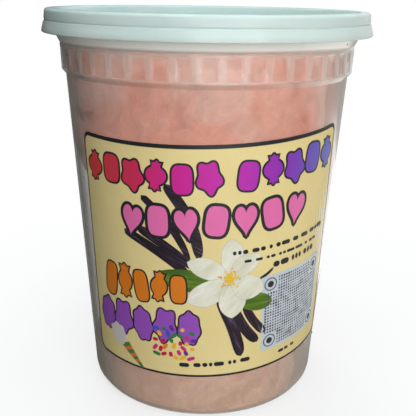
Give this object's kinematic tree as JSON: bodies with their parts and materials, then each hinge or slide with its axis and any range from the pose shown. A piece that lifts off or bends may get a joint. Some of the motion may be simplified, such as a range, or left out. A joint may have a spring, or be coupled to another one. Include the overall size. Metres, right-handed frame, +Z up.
{
  "type": "tub of cotton candy",
  "caption": "Round tapered clear plastic tub packed full of pink cotton candy, shut with a milky recessed press-on lid and carrying a cream paper label.",
  "frame": {"origin": "middle of the tub's foot, on the plane that it stands on", "axes": "+Z up through the middle of the lid; -Y through the middle of the label; +X to the right of someone who faces the label"},
  "size_m": [0.1186, 0.1186, 0.143],
  "materials": {
    "clear_tub_plastic": "clear, slightly hazy moulded polypropylene, glossy",
    "milky_lid_plastic": "milky translucent polypropylene, satin gloss",
    "pink_cotton_candy": "soft matte floss, cloudy pink",
    "cream_label_paper": "printed paper, slight sheen"
  },
  "bodies": {
    "root": {"tub": "clear_tub_plastic", "lid": "milky_lid_plastic", "cotton_candy": "pink_cotton_candy", "label": "cream_label_paper"}
  },
  "joints": []
}
